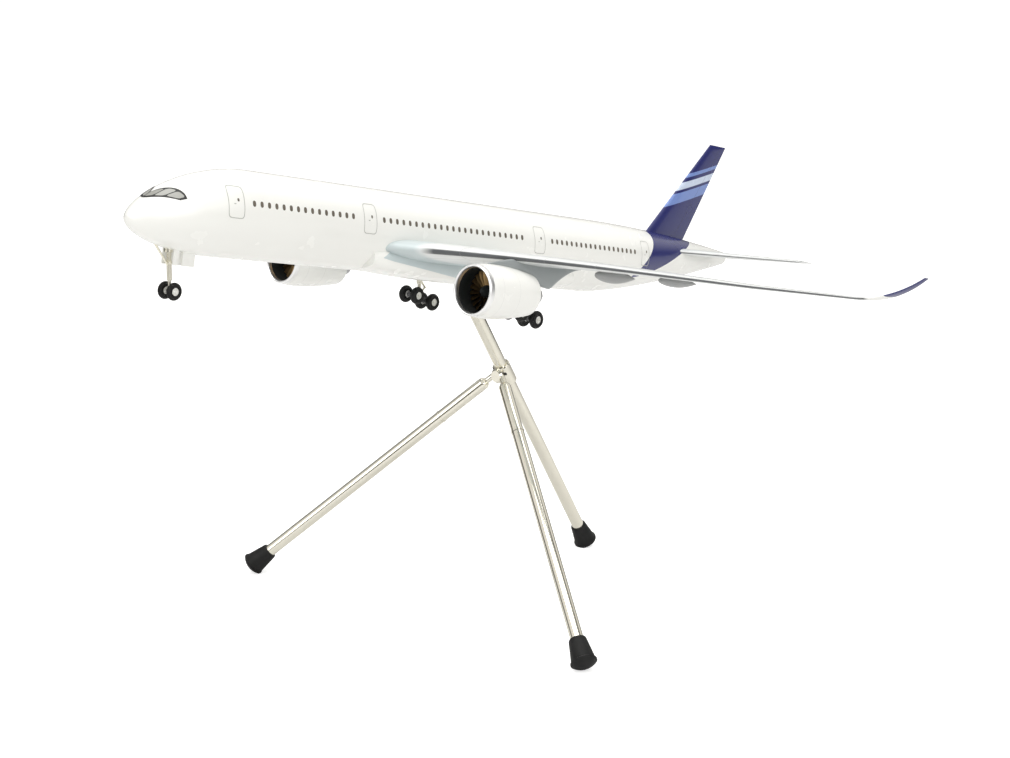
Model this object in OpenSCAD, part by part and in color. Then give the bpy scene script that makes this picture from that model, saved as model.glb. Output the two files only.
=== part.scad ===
// Desktop airliner model on a tripod stand.
// +X points forward, +Y to port, +Z up; the three rubber feet rest on Z = 0.
// The airframe is drawn by station (distance aft of the nose) and height above the fuselage axis.

/* [Fuselage] */
// Length from the nose to the end of the tail cone
body_length = 668; // [500:1:850]
// Width of the cabin barrel
body_width = 59.6; // [50:0.1:75]
// Height of the cabin barrel
body_height = 60.9; // [50:0.1:75]
// Thickness of the moulded shells
shell_wall = 2.2; // [1.6:0.1:3]

/* [Wings] */
// Span over the winglets
span = 647.5; // [520:0.5:800]
// Sweep of the leading edge
wing_sweep = 34.9; // [25:0.1:40]
// Chord where the wing meets the fuselage
root_chord = 125; // [105:1:140]
// Rise of each winglet
winglet_rise = 20.3; // [8:0.1:30]

/* [Tail] */
// Height of the fin tip above the fuselage axis
fin_tip_z = 114.2; // [90:0.1:140]
// Span of the tailplane
tail_span = 210; // [150:1:230]

/* [Engines] */
// Distance between the two engines
engine_spacing = 205.4; // [180:0.1:230]
// Largest diameter of a nacelle
nacelle_dia = 39; // [33:0.1:44]
// Number of fan blades
fan_blades = 22; // [12:1:26]

/* [Landing gear] */
// Diameter of the nose wheels
nose_wheel_dia = 12; // [10:0.1:14]
// Diameter of the main wheels
main_wheel_dia = 14; // [12:0.1:16]
// Distance between the two main legs
main_track = 112.8; // [100:0.1:120]
// Tilt of the main bogies, rear wheels low
bogie_tilt = 13.5; // [0:0.5:15]

/* [Stand] */
// Height of the fuselage axis at the nose above the table
nose_height = 345.4; // [300:0.1:420]
// Nose-up angle of the airframe
pitch = 10.65; // [4:0.05:16]
// Lean of the main tube from the vertical
tube_lean = 32; // [24:0.5:38]
// Diameter of the main tube
tube_dia = 10.5; // [9:0.1:13]
// Diameter of the two front leg tubes
leg_dia = 10; // [9:0.1:12]
// Height of the hub where the legs meet
hub_height = 173.4; // [140:0.1:200]
// Distance between the two front feet
foot_span = 357.4; // [260:0.2:460]
// How far the front feet stand ahead of the knuckle that carries the legs
leg_reach = 121.8; // [70:0.1:150]
// Turn of the two front legs about the vertical through the hub, towards port
leg_turn = 4.2; // [-10:0.1:10]

/* [Hidden] */

white = [0.95, 0.95, 0.93];
navy = [0.05, 0.09, 0.35];
grey = [0.62, 0.65, 0.68];
dark = [0.08, 0.08, 0.09];
rubber = [0.03, 0.03, 0.03];
nickel = [0.78, 0.75, 0.66];

slip = 0.05;          // radial clearance of a running or sliding fit
k = body_length / 668; // stations follow the length of the fuselage
half_w = body_width / 2;
half_h = body_height / 2;

// Fuselage outline
nose_tip_z = -0.32 * half_h;
nose_len = 85 * k;      // station where the barrel reaches full width
crown_len = 92 * k;     // station where the crown reaches full height
keel_len = 66 * k;      // station where the keel reaches full depth
tail_start = 460 * k;   // station where the tail cone starts
tail_len = body_length - tail_start;
ring_points = 32;
nose_rings = 13;
tail_rings = 9;

// Wing outline
wing_root_y = half_w;
tenon_y = half_w - 8;            // how far in each wing root reaches
kink_y = 0.34 * span / 2;        // where the trailing edge bends
winglet_y = span / 2 - 23.75;
wing_le_root = 205 * k;
wing_root_z = -10.5;
tip_chord = 26;
wing_points = 12;                // points along each surface of a wing section

// Stand socket in the belly
socket_s = 316.7 * k;
socket_z = -1.084 * half_h;
socket_dia = tube_dia + 6;
socket_above = 36;               // how far the bore reaches above the socket point
socket_below = 6;
tube_top = socket_above - 4.5;   // end of the tube above the socket point

// Row frame: the nose datum stands so that the whole part is centred on X = 0
rear_reach = body_length * cos(pitch) + 13 * sin(pitch);
nose_x = (rear_reach + nose_tip_z * sin(pitch)) / 2;
function to_row(s, y, z) = [
  nose_x - s * cos(pitch) - z * sin(pitch), y, nose_height - s * sin(pitch) + z * cos(pitch)
];
socket_pos = to_row(socket_s, 0, socket_z);
foot_r = 10;                     // radius of the lip round a foot
dome_r = 14.5;                   // radius of the dome under the lip
dome_up = sqrt(dome_r * dome_r - foot_r * foot_r);
foot_flat = 0.8;                 // how much of the rubber the table cuts away
ferrule_floor = 4;               // where a tube lands in its ferrule, above the lip
rear_foot_x = socket_pos.x - socket_pos.z * tan(tube_lean);
tube_len = socket_pos.z / cos(tube_lean);
hub_x = socket_pos.x - (socket_pos.z - hub_height) * tan(tube_lean);
hub_up = hub_height / cos(tube_lean);      // hub position along the main tube
knuckle_reach = tube_dia / 2 + 4;          // from the tube's axis forward to the leg axes
knuckle_dia = 12;
leg_vec = [-leg_reach, 4 - foot_span / 2, hub_height];
leg_len = norm(leg_vec);
leg_rise = leg_vec.z / leg_len;
leg_tilt = acos(leg_rise);
stub_len = 57;                   // from the hub to the ring where the leg tube starts
spigot_len = 18;
spigot_dia = leg_dia - 2;

// Engines
engine_y = engine_spacing / 2;
engine_s = 218.4 * k;
engine_z = -32.15;
nacelle_r = nacelle_dia / 2;
nacelle_len = 57;
duct_r = nacelle_r - 2.9;        // inside radius at the fan
fan_s = 15;                      // fan face, aft of the intake

// Landing gear
nose_gear_s = 39.5 * k;
nose_gear_z = -55.2;
main_gear_s = 329 * k;
main_gear_z = -50.5;
main_gear_y = main_track / 2;
bogie_half = 9.5;                // half the wheelbase of a bogie
wheel_y = 6.4;                   // main wheels, each side of the bogie

// ---------- helpers ----------

function clamp(x) = min(1, max(0, x));
function aft(s) = clamp((s - tail_start) / tail_len);

function body_w(s) =
  half_w * sqrt(1 - pow(1 - clamp(s / nose_len), 2)) * (1 - 0.87 * pow(aft(s), 1.7));
function body_top(s) = nose_tip_z
  + (half_h - nose_tip_z) * pow(1 - pow(1 - clamp(s / crown_len), 1.9), 0.70)
  - (half_h - 18.5) * pow(aft(s), 1.9);
function body_bottom(s) = nose_tip_z
  - (half_h + nose_tip_z) * sqrt(1 - pow(1 - clamp(s / keel_len), 2.0))
  + (half_h + 7.5) * pow(aft(s), 1.35);

// One ring of the fuselage, moved inwards by inset
function body_ring(s, inset, n = ring_points) = [
  for (i = [0:n - 1])
    let (a = 360 * i / n, t = body_top(s) - inset, b = body_bottom(s) + inset)
      [-s, (body_w(s) - inset) * cos(a), (t + b) / 2 + (t - b) / 2 * sin(a)]
];

function body_stations(first, last, n_nose, n_tail) = concat(
  [for (i = [0:n_nose]) first + (crown_len - first) * pow(i / n_nose, 1.8)],
  [tail_start],
  [for (i = [1:n_tail]) tail_start + (last - tail_start) * i / n_tail]
);

// Skin over a list of closed rings with the same number of points
module loft(rings) {
  n = len(rings[0]);
  m = len(rings);
  polyhedron(
    points = [for (r = rings) each r],
    faces = concat(
      [[for (i = [n - 1:-1:0]) i]],
      [for (j = [0:m - 2], i = [0:n - 1])
        [j * n + i, (j + 1) * n + (i + 1) % n, (j + 1) * n + i]],
      [for (j = [0:m - 2], i = [0:n - 1])
        [j * n + i, j * n + (i + 1) % n, (j + 1) * n + (i + 1) % n]],
      [[for (i = [0:n - 1]) (m - 1) * n + i]]
    )
  );
}

module airframe() translate([nose_x, 0, nose_height]) rotate([0, -pitch, 0]) children();
module at(s, y, z) translate([-s, y, z]) children();
module starboard() mirror([0, 1, 0]) children();

// Local Z along the main tube, from the table up
module on_tube(d = 0)
  translate([rear_foot_x, 0, 0]) rotate([0, tube_lean, 0]) translate([0, 0, d]) children();

// Local Z along the port leg, from the table up to the hub
module on_leg(d = 0)
  translate([hub_x + knuckle_reach + leg_reach, foot_span / 2, 0])
    rotate([0, leg_tilt, atan2(leg_vec.y, leg_vec.x)])
      translate([0, 0, d]) children();

// Turns the front legs and their knuckle about the vertical through the hub
module about_hub()
  translate([hub_x, 0, 0]) rotate([0, 0, leg_turn]) translate([-hub_x, 0, 0]) children();

skin_stations = body_stations(0.25 * k, body_length, nose_rings, tail_rings);
module body_part(first, last) loft([for (i = [first:last]) body_ring(skin_stations[i], 0)]);
module body_solid() body_part(0, len(skin_stations) - 1);
module barrel_solid() body_part(nose_rings, nose_rings + 1);
module cavity_solid(inset = shell_wall)
  loft([for (s = body_stations(9 * k, body_length - 26 * k, 6, 5)) body_ring(s, inset, 20)]);

// Wing section outline: lower surface forward from the trailing edge, then the upper surface
function foil_t(x) =
  5 * (0.2969 * sqrt(x) - 0.126 * x - 0.3516 * x * x + 0.2843 * pow(x, 3) - 0.1036 * pow(x, 4));
function foil(low = 0.8, high = 1.1, n = wing_points) = concat(
  [for (i = [0:n]) let (x = (1 + cos(180 * i / n)) / 2) [x, -low * foil_t(x) - 0.006]],
  [for (i = [1:n]) let (x = (1 - cos(180 * i / n)) / 2) [x, high * foil_t(x) + 0.006]]
);

// Section placed with its leading edge at (s, y, z), leaning by cant and nose-up by twist
function section(s, y, z, chord, thick, twist = 0, cant = 0) = [
  for (p = foil())
    let (dz = thick * p[1] * chord)
      [-s - p[0] * chord * cos(twist), y - dz * sin(cant),
       z - p[0] * chord * sin(twist) + dz * cos(cant)]
];

function wing_le(y) = wing_le_root + (y - wing_root_y) * tan(wing_sweep);
function wing_te(y) = wing_le_root + root_chord
  + (min(y, kink_y) - wing_root_y) * 0.12
  + (max(y, kink_y) - kink_y) * (wing_le(winglet_y) + tip_chord - wing_le_root - root_chord
      - (kink_y - wing_root_y) * 0.12) / (winglet_y - kink_y);
function wing_z(y) = wing_root_z + 4.7 * (1 - pow(1 - clamp((y - wing_root_y) / 140), 2))
  + 1.3 * clamp((y - 240) / 60);
function wing_thick(y) = 0.125 - 0.04 * clamp((y - wing_root_y) / 150);
function wing_twist(y) = 2.6 * (1 - clamp((y - wing_root_y) / 150));
function wing_under(y) = wing_z(y) - (wing_te(y) - wing_le(y)) * sin(wing_twist(y));
function wing_section(y) =
  section(wing_le(y), y, wing_z(y), wing_te(y) - wing_le(y), wing_thick(y), wing_twist(y));

winglet_turn = 78;
function winglet_section(t) =
  section(
    wing_le(winglet_y) + 56 * pow(t, 1.25),
    winglet_y + 23.75 * sin(winglet_turn * t) / sin(winglet_turn),
    wing_z(winglet_y) + winglet_rise * (1 - cos(winglet_turn * t)) / (1 - cos(winglet_turn)),
    tip_chord - 19.5 * pow(t, 0.9), 0.085 + 0.03 * t, 0, winglet_turn * t
  );

wing_ribs = [tenon_y, wing_root_y, 45, 70, 90, kink_y, 150, 200, 250, winglet_y];
module wing_solid()
  loft(concat(
    [for (y = wing_ribs) wing_section(y)],
    [for (t = [0.2, 0.4, 0.6, 0.8, 1]) winglet_section(t)]
  ));
module wing_bay(first, last) loft([for (i = [first:last]) wing_section(wing_ribs[i])]);

module spar_box() at(247 * k, 0, wing_root_z) cube([14, 2 * (tenon_y + 24), 6], center = true);

// Fin: local rings stacked in Z
function fin_le(z) = 545.8 * k + (z - 29.2) * 0.923;
function fin_te(z) = 603.5 * k + (z - 29.2) * 0.535;
function fin_section(z) = [
  for (p = foil(0.95, 0.95))
    [-fin_le(z) - p[0] * (fin_te(z) - fin_le(z)), -p[1] * 0.095 * (fin_te(z) - fin_le(z)), z]
];
module fin_solid()
  loft([for (z = [15, 29.2, 60, 90, fin_tip_z - 4, fin_tip_z])
    [for (p = fin_section(z)) z == fin_tip_z ? [p.x, p.y * 0.5, p.z] : p]]);

tail_root_y = 7;
tail_z = 13.4;
function tail_le(y) = 571 * k + (y - 15) * 0.69;
function tail_chord(y) = 63 - 37 * clamp((y - 15) / (tail_span / 2 - 15));
function tail_section(y) =
  section(tail_le(y), y, tail_z + 0.05 * (y - 15), tail_chord(y), y > tail_span / 2 - 1 ? 0.05 : 0.1);
module tailplane_solid()
  loft([for (y = [tail_root_y, 15, 40, 65, tail_span / 2 - 4, tail_span / 2]) tail_section(y)]);

module tail_pin() at(596 * k, 0, tail_z - 0.4) rotate([90, 0, 0])
  cylinder(d = 2.4, h = 44, center = true, $fn = 24);

// ---------- stand ----------

module main_tube() color(nickel) difference() {
  on_tube(rear_up + ferrule_floor)
    cylinder(d = tube_dia, h = tube_len + tube_top - rear_up - ferrule_floor, $fn = 64);
  on_tube(rear_up) cylinder(d = tube_dia - 2, h = tube_len + tube_top, $fn = 64);
}

// Turned plug that closes the upper end of the tube and lands in the socket
module tube_plug() color(nickel) on_tube(tube_len + tube_top) {
  rotate_extrude($fn = 64)
    polygon([[0, -10], [tube_dia / 2 - 1, -10], [tube_dia / 2 - 1, 0], [tube_dia / 2, 0],
             [tube_dia / 2, 1.4], [tube_dia / 2 - 2.4, 4], [0, 4]]);
}

collar_len = 19;
module hub_collar() color(nickel) difference() {
  union() {
    on_tube(hub_up - collar_len / 2 + 1) rotate_extrude($fn = 64)
      polygon([[tube_dia / 2, 0], [tube_dia / 2 + 1.2, 0], [tube_dia / 2 + 2, 0.8],
               [tube_dia / 2 + 2, collar_len - 0.8], [tube_dia / 2 + 1.2, collar_len],
               [tube_dia / 2, collar_len]]);
    difference() {
      about_hub() {
        translate([hub_x, 0, hub_height]) rotate([0, 90, 0]) rotate_extrude($fn = 64)
          polygon([[0, 0], [knuckle_dia / 2, 0], [knuckle_dia / 2, knuckle_reach + 1.5],
                   [knuckle_dia / 2 - 1.5, knuckle_reach + 3.5], [0, knuckle_reach + 3.5]]);
        for (side = [0, 1]) mirror([0, side, 0])
          on_leg(leg_len - 12) cylinder(d = 5, h = 12, $fn = 32);
      }
      on_tube(hub_up - 2 * collar_len) cylinder(d = tube_dia, h = 4 * collar_len, $fn = 64);
    }
  }
  hub_screw_shapes(0);
}

module hub_screw_shapes(socket)
  for (turn = [-52, 52])
    on_tube(hub_up + 4.5) rotate([0, 0, turn]) rotate([0, 90, 0]) translate([0, 0, tube_dia / 2])
      difference() {
        cylinder(d = 3, h = 2.4, $fn = 32);
        if (socket > 0) translate([0, 0, 1.1]) cylinder(d = socket, h = 2, $fn = 6);
      }

// Two grub screws that lock the collar on the tube
module hub_screws() color(dark) hub_screw_shapes(1.7);

// Upper end of a leg: rounded where it meets the collar, with a spigot for the leg tube
module stub() {
  difference() {
    union() {
      on_leg(leg_len - 12) sphere(d = leg_dia, $fn = 64);
      on_leg(leg_len - stub_len) cylinder(d = leg_dia, h = stub_len - 12, $fn = 64);
      on_leg(leg_len - stub_len) cylinder(d = leg_dia + 0.7, h = 1.2, $fn = 64);
      on_leg(leg_len - stub_len - spigot_len) cylinder(d = spigot_dia - 2 * slip, h = spigot_len, $fn = 64);
    }
    on_leg(leg_len - 12) cylinder(d = 5, h = 12, $fn = 32);
  }
}
module stub_port() color(nickel) about_hub() stub();
module stub_starboard() color(nickel) about_hub() starboard() stub();

// Distance along a tube from the table to the middle of its foot's lip
lip_tilt = asin(foot_r / dome_r);
function lip_up(tilt) =
  ((tilt > lip_tilt ? foot_r * sin(tilt) : dome_r - dome_up * cos(tilt)) - foot_flat) / cos(tilt);
foot_up = lip_up(leg_tilt);
rear_up = lip_up(tube_lean);

module leg_tube() difference() {
  on_leg(foot_up + ferrule_floor)
    cylinder(d = leg_dia, h = leg_len - stub_len - foot_up - ferrule_floor - 0.3, $fn = 64);
  on_leg(foot_up) cylinder(d = spigot_dia, h = leg_len, $fn = 64);
}
module leg_tube_port() color(nickel) about_hub() leg_tube();
module leg_tube_starboard() color(nickel) about_hub() starboard() leg_tube();

// Rubber ferrule, drawn with the middle of its lip on the local origin
module ferrule(bore) difference() {
  rotate_extrude($fn = 64)
    polygon(concat(
      [for (a = [0:lip_tilt / 8:lip_tilt]) [dome_r * sin(a), dome_up - dome_r * cos(a)]],
      [[foot_r, 1], [foot_r - 0.8, 1.5], [6.7, 18.6], [6.1, 19.5], [0, 19.5]]
    ));
  translate([0, 0, ferrule_floor]) cylinder(d = bore, h = 20, $fn = 64);
}
module on_table() difference() {
  children();
  translate([0, 0, -50]) cube([2000, 2000, 100], center = true);
}
module foot_rear() color(rubber) on_table() on_tube(rear_up) ferrule(tube_dia);
module foot_port() color(rubber) on_table() about_hub() on_leg(foot_up) ferrule(leg_dia);
module foot_starboard() color(rubber) on_table() about_hub() starboard() on_leg(foot_up) ferrule(leg_dia);

// ---------- airframe ----------

boss_stations = [for (f = [0.14, 0.27, 0.54, 0.66]) f * body_length];
module each_boss() for (s = boss_stations, up = [-1, 1]) {
  z = up > 0 ? body_top(s) - shell_wall - 6 : body_bottom(s) + shell_wall + 6;
  at(s, 0, z) rotate([up > 0 ? 0 : 180, 0, 0]) mirror([0, up > 0 ? 0 : 1, 0]) children();
}

module boss() hull() {
  translate([0, -1, 0]) rotate([-90, 0, 0]) cylinder(d = 6.5, h = 8, $fn = 10);
  translate([-3.2, -1, 5]) cube([6.4, 5, 1.7]);
}

module alignment_pins() color(nickel) airframe() each_boss()
  rotate([90, 0, 0]) cylinder(d = 2.9, h = 10, center = true, $fn = 24);

module socket_outer() on_tube(tube_len - socket_below)
  cylinder(d = socket_dia, h = socket_below + socket_above + 3, $fn = 48);

// One moulded half of the fuselage; the other is its mirror image
module fuselage_half() difference() {
  airframe() difference() {
    union() {
      difference() {
        body_solid();
        cavity_solid();
      }
      each_boss() boss();
    }
    translate([-body_length - 10, -100, -100]) cube([body_length + 20, 100, 200]);
    each_boss() rotate([-90, 0, 0]) cylinder(d = 3.2, h = 12, center = true, $fn = 10);
    wing_bay(0, 2);
    fin_solid();
    tailplane_solid();
    glazing_solid();
    at(nose_gear_s, 0, 0) nose_leg_plug();
    nose_door_plates();
  }
  socket_outer();
}
module fuselage_port_shell() color(white) fuselage_half();
module fuselage_starboard_shell() color(white) starboard() fuselage_half();

// Cast slug that fills the nose section behind the front bulkhead
module nose_ballast() color(grey) airframe() intersection() {
  cavity_solid(shell_wall + slip / 2);
  at(82 * k, -body_width, -body_height) cube([30 * k, 2 * body_width, 2 * body_height]);
}

module stand_socket() color(grey) difference() {
  intersection() {
    socket_outer();
    airframe() at(socket_s, 0, 0) translate([0, 0, socket_z + 30]) cube([120, 60, 62], center = true);
  }
  on_tube(tube_len - socket_below - 20)
    cylinder(d = tube_dia + 2 * 0.1, h = socket_below + 20 + socket_above, $fn = 64);
}

// Fairing under the wing: slabs joined in pairs along the body
fairing_first = 192 * k;
fairing_last = 424 * k;
fairing_steps = 12;
function fairing_ring(t) = let (
  bulge = pow(sin(180 * pow(t, 0.9)), 0.55),
  w = half_w * (0.86 + 0.27 * bulge),
  low = -half_h * (0.86 + 0.25 * bulge),
  top = -half_h * 0.16 - 8 * (1 - bulge))
  [for (a = [0:15:345]) let (c = cos(a), s = sin(a), m = (top + low) / 2)
    [-fairing_first - (fairing_last - fairing_first) * t, sign(c) * pow(abs(c), 0.7) * w,
     m + sign(s) * pow(abs(s), 0.75) * (top - low) / 2]];
module fairing_solid()
  loft([for (i = [0:fairing_steps]) fairing_ring(0.012 + 0.976 * i / fairing_steps)]);

module belly_fairing() color(white) difference() {
  airframe() difference() {
    fairing_solid();
    barrel_solid();
    wing_bay(0, 2);
    starboard() wing_bay(0, 2);
    main_gear(1) stay_bars(9);
    main_gear(-1) stay_bars(9);
  }
  socket_outer();
}

// Windscreen: a patch of the nose skin, from one side over the top to the other
module glazing_solid() {
  n = 18;
  front = function(q) (10.5 + 16 * q * q) * k;
  rear = function(q) (16 + 15 * (1 - pow(1 - abs(q), 2))) * k;
  loft([for (i = [0:n]) let (q = -1 + 2 * i / n, a = 90 - 58 * q)
    concat(
      [for (j = [0:4]) skin(front(q) + (rear(q) - front(q)) * j / 4, a, 0.12)],
      [for (j = [4:-1:0]) skin(front(q) + (rear(q) - front(q)) * j / 4, a, -0.9)]
    )]);
}
function skin(s, a, out) = let (t = body_top(s), b = body_bottom(s))
  [-s, (body_w(s) + out) * cos(a), (t + b) / 2 + ((t - b) / 2 + out) * sin(a)];
module cockpit_glazing() color(dark) airframe() glazing_solid();

module wing() airframe() difference() {
  wing_solid();
  spar_box();
}
module wing_port() color(grey) wing();
module wing_starboard() color(grey) starboard() wing();
module wing_spar() color(nickel) airframe() spar_box();

// Flap track pods under the wing: spanwise place, length, radius
module pods() for (p = [[137, 49, 5], [180, 48, 4]]) {
  y = p[0];
  at(wing_te(y) + 8, y, wing_under(y) - 0.95 * p[2])
    rotate([0, 90, 0]) rotate_extrude($fn = 48)
      polygon([[0, 0], [p[2] * 0.35, p[1] * 0.12], [p[2] * 0.8, p[1] * 0.32], [p[2], p[1] * 0.52],
               [p[2] * 0.9, p[1] * 0.74], [p[2] * 0.5, p[1] * 0.93], [0, p[1]]]);
}
module flap_fairings() airframe() difference() {
  pods();
  wing_bay(3, 7);
}
module flap_fairings_port() color(grey) flap_fairings();
module flap_fairings_starboard() color(grey) starboard() flap_fairings();

module fin() color(navy) airframe() fin_solid();
module tailplane() airframe() difference() {
  tailplane_solid();
  tail_pin();
}
module tailplane_port() color(grey) tailplane();
module tailplane_starboard() color(grey) starboard() tailplane();
module tail_spar() color(nickel) airframe() tail_pin();

// ---------- engines ----------

module on_engine() airframe() at(engine_s, engine_y, engine_z) rotate([0, -90, 0]) children();

// Local Z runs aft along the engine
lip_len = 4.2;
nacelle_outer = concat(
  [[nacelle_r - 1.0, lip_len]],
  [for (t = [0:0.2:1]) [nacelle_r - pow(1 - t, 2) * 0.9, lip_len + 13 * t]],
  [for (t = [0.15:0.17:1]) [nacelle_r - 4 * pow(t, 1.8), lip_len + 13 + (nacelle_len - lip_len - 13) * t]]
);
module nacelle() on_engine() rotate_extrude($fn = 96)
  polygon(concat(
    [[duct_r - 0.5, lip_len]],
    nacelle_outer,
    [[nacelle_r - 4.9, nacelle_len], [nacelle_r - 4.4, nacelle_len - 12], [duct_r, nacelle_len - 26],
     [duct_r, fan_s - 3]]
  ));
module nacelle_port() color(white) nacelle();
module nacelle_starboard() color(white) starboard() nacelle();

module intake_lip() on_engine() rotate_extrude($fn = 96) {
  outer = nacelle_r - 1.0;
  inner = duct_r - 0.5;
  mid = (outer + inner) / 2;
  polygon(concat(
    [[inner, lip_len]],
    [for (a = [180:15:360]) [mid + (outer - mid) * cos(a), 3 + 3 * sin(a)]],
    [[outer, lip_len]]
  ));
}
module intake_lip_port() color(nickel) intake_lip();
module intake_lip_starboard() color(nickel) starboard() intake_lip();

core_r = 9.6;                    // radius of the core where it leaves the nacelle
// Core with the vane ring that holds it in the nacelle, and the exhaust plug
module engine_core() on_engine() difference() {
  rotate_extrude($fn = 96)
    polygon([[0, fan_s + 6], [5.2, fan_s + 6], [6.4, fan_s + 9], [duct_r, fan_s + 9],
             [duct_r, fan_s + 10.6], [8.8, fan_s + 10.6], [core_r, nacelle_len - 9],
             [8.2, nacelle_len + 7], [6.6, nacelle_len + 12], [5.8, nacelle_len + 12],
             [6.2, nacelle_len + 8], [4.4, nacelle_len + 8], [2.6, nacelle_len + 17],
             [0, nacelle_len + 20]]);
  translate([0, 0, fan_s]) cylinder(d = 3, h = 16, $fn = 48);
}
module engine_core_port() color(grey) engine_core();
module engine_core_starboard() color(grey) starboard() engine_core();

module fan() on_engine() {
  rotate_extrude($fn = 64)
    polygon([[0, fan_s - 5.5], [1.6, fan_s - 4.6], [3.2, fan_s - 2.4], [4.3, fan_s], [4.3, fan_s + 4.5],
             [1.5 - slip, fan_s + 4.5], [1.5 - slip, fan_s + 15.5], [0, fan_s + 15.5]]);
  for (i = [0:fan_blades - 1]) rotate([0, 0, 360 / fan_blades * i])
    translate([3.9, 0, fan_s + 2.2]) rotate([38, 0, 0])
      translate([0, -0.22, -2.1]) cube([duct_r - 0.5 - 3.9, 0.44, 4.2]);
}
module fan_port() color(dark) fan();
module fan_starboard() color(dark) starboard() fan();

module pylon() airframe() difference() {
  hull() {
    at(engine_s + 14, engine_y - 1.4, engine_z + nacelle_r - 4) cube([1, 2.8, 4.6]);
    at(engine_s + nacelle_len, engine_y - 2.6, engine_z + nacelle_r - 8) cube([1, 5.2, 8]);
    at(engine_s + nacelle_len + 25, engine_y - 2.6, engine_z + 5.5) cube([1, 5.2, 8]);
    at(wing_le(engine_y) + 10, engine_y - 2.2, wing_z(engine_y) - 1) cube([1, 4.4, 2]);
    at(wing_te(engine_y) - 5, engine_y - 1, wing_under(engine_y) - 2.3) cube([1, 2, 2]);
  }
  wing_bay(4, 6);
  at(engine_s, engine_y, engine_z) rotate([0, -90, 0]) rotate_extrude($fn = 96)
    polygon(concat(
      [[0, 0]],
      nacelle_outer,
      [[core_r + 0.4, nacelle_len], [core_r + 0.4, nacelle_len + 40], [0, nacelle_len + 40]]
    ));
}
module pylon_port() color(grey) pylon();
module pylon_starboard() color(grey) starboard() pylon();

// ---------- landing gear ----------

module nose_leg_plug() translate([4.5, 0, -0.88 * half_h - 3]) cylinder(d = 6, h = 11, $fn = 32);
nose_axle_r = 0.8;
module nose_leg() color(nickel) airframe() at(nose_gear_s, 0, 0) difference() {
  union() {
    nose_leg_plug();
    on_nose_strut(7) cylinder(d = 3.4, h = 22, $fn = 32);
    on_nose_strut(0) cylinder(d = 2.2, h = 12, $fn = 32);
    translate([0, 0, nose_gear_z]) rotate([90, 0, 0]) cylinder(d = 3.6, h = 3.4, center = true, $fn = 32);
  }
  translate([0, 0, nose_gear_z]) rotate([90, 0, 0])
    cylinder(r = nose_axle_r + slip, h = 10, center = true, $fn = 32);
  translate([0, 0, -0.88 * half_h + 8]) cylinder(d = 20, h = 20, $fn = 32);
}
module on_nose_strut(d) translate([0, 0, nose_gear_z])
  rotate([0, atan2(4.5, -0.88 * half_h - nose_gear_z), 0]) translate([0, 0, d]) children();

module nose_brace() color(nickel) airframe() difference() {
  at(nose_gear_s - 2.3, 0, -40) rotate([0, 42, 0]) cylinder(d = 1.6, h = 24, $fn = 24);
  at(nose_gear_s, 0, 0) on_nose_strut(3) cylinder(d = 3.4, h = 26, $fn = 32);
  body_part(5, 11);
}

nose_door_height = 13;
module nose_door_plates() for (side = [-1, 1], plate = [[39, 4], [52, 10]])
  at(plate[0] * k, side * 6.2 - 0.4, -0.82 * half_h - nose_door_height)
    cube([plate[1], 0.8, nose_door_height]);
module nose_doors() color(white) airframe() nose_door_plates();

// One wheel pair: axle with two hub discs, or the two tyres on them
module wheel_pair(gap, hub_d, width, axle_r) {
  rotate([90, 0, 0]) cylinder(r = axle_r, h = 2 * gap, center = true, $fn = 32);
  for (side = [-1, 1]) translate([0, side * gap, 0]) rotate([90, 0, 0])
    rotate_extrude($fn = 64) translate([0, -width / 2])
      polygon([[0, 0.5], [hub_d * 0.18, 0.5], [hub_d * 0.24, 0.9], [hub_d * 0.4, 0.9], [hub_d * 0.44, 0.35],
               [hub_d / 2, 0.35], [hub_d / 2, width - 0.35], [hub_d * 0.44, width - 0.35],
               [hub_d * 0.4, width - 0.9], [hub_d * 0.24, width - 0.9], [hub_d * 0.18, width - 0.5],
               [0, width - 0.5]]);
}
module tyre_pair(gap, hub_d, width, d)
  for (side = [-1, 1]) translate([0, side * gap, 0]) rotate([90, 0, 0])
    rotate_extrude($fn = 64) polygon(concat(
      [[hub_d / 2, -width / 2], [d / 2 - 1.4, -width / 2]],
      [for (a = [-75:15:75]) [d / 2 - 1.4 + 1.4 * cos(a), (width / 2 - 0.7) * sin(a) / sin(75)]],
      [[d / 2 - 1.4, width / 2], [hub_d / 2, width / 2]]));

nose_wheel_y = 4.8;
nose_hub = 0.45 * nose_wheel_dia;
module nose_wheels() color(white) airframe() at(nose_gear_s, 0, nose_gear_z)
  wheel_pair(nose_wheel_y, nose_hub, 3.4, nose_axle_r);
module nose_tyres() color(rubber) airframe() at(nose_gear_s, 0, nose_gear_z)
  tyre_pair(nose_wheel_y, nose_hub, 3.6, nose_wheel_dia);

// Children are drawn about the bogie pivot; side is 1 for port and -1 for starboard
module main_gear(side) mirror([0, side < 0 ? 1 : 0, 0]) at(main_gear_s, main_gear_y, main_gear_z) children();

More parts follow.
